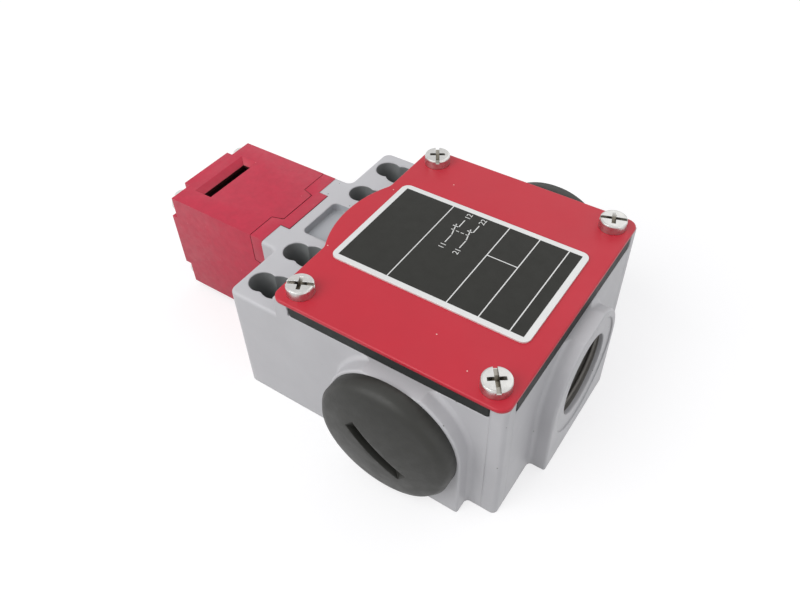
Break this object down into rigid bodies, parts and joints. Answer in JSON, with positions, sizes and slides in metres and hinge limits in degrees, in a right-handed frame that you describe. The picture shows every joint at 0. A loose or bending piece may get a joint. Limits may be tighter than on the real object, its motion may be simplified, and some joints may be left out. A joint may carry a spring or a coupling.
{
  "type": "tongue interlock switch",
  "caption": "Tongue-operated safety interlock switch: cast casing with conduit entries, sheet cover, square key head, and a cam that drives break contacts through a plunger.",
  "frame": {"origin": "centre of the casing's flat back, the face that is screwed to the machine", "axes": "+X out of the open conduit entry, -X out of the key head's end, +Z out of the cover, +Y to the far side"},
  "size_m": [0.1062, 0.08, 0.0377],
  "materials": {
    "cast_paint": "satin light grey paint on die-cast zinc",
    "cover_paint": "gloss red paint on sheet steel",
    "black_rubber": "matte black rubber",
    "zinc_steel": "bright zinc plated steel",
    "plate_alloy": "thin plate, black face",
    "black_plastic": "matte black moulding",
    "head_plastic": "satin red moulding",
    "rotor_zinc": "bare die-cast zinc",
    "pin_steel": "ground steel",
    "spring_steel": "spring steel wire",
    "block_plastic": "black thermoset moulding",
    "carrier_plastic": "off-white moulding",
    "contact_brass": "bright brass"
  },
  "bodies": {
    "casing": {"housing": "cast_paint", "cover": "cover_paint", "cover_gasket": "black_rubber", "cover_screws": "zinc_steel", "rating_plate": "plate_alloy", "plug_near": "black_plastic", "plug_seal_near": "black_rubber", "plug_far": "black_plastic", "plug_seal_far": "black_rubber", "head_shell": "head_plastic", "head_base": "head_plastic", "head_screws": "zinc_steel", "cam_axle": "pin_steel", "plunger_seal": "black_rubber", "plunger_spring": "spring_steel", "contact_base": "block_plastic", "contact_cover": "block_plastic", "carrier_spring": "spring_steel", "terminal_11": "contact_brass", "terminal_12": "contact_brass", "terminal_21": "contact_brass", "terminal_22": "contact_brass", "terminal_clamps": "zinc_steel", "terminal_screws": "zinc_steel", "block_screws": "zinc_steel", "earth_clamp": "contact_brass", "earth_screw": "contact_brass"},
    "rotor": {"cam_rotor": "rotor_zinc"},
    "plunger": {"plunger": "pin_steel"},
    "carrier": {"contact_carrier": "carrier_plastic", "bridge_1": "contact_brass", "bridge_2": "contact_brass", "bridge_springs": "spring_steel"}
  },
  "joints": [
    {"name": "cam_turn", "type": "hinge", "parent": "casing", "child": "rotor", "pos_m": [-0.0547, 0, 0.01565], "axis": [0, -1, 0], "range_deg": [0, 50]},
    {"name": "plunger_slide", "type": "slide", "parent": "casing", "child": "plunger", "axis": [-1, 0, 0], "range_m": [0, 0.003], "deforming": ["plunger_spring"]},
    {"name": "carrier_slide", "type": "slide", "parent": "casing", "child": "carrier", "axis": [-1, 0, 0], "range_m": [0, 0.003], "deforming": ["carrier_spring"]}
  ],
  "couplings": [
    {"joint": "plunger_slide", "follows": "cam_turn", "m_per_rad": 0.0034377},
    {"joint": "carrier_slide", "follows": "cam_turn", "m_per_rad": 0.0034377}
  ]
}
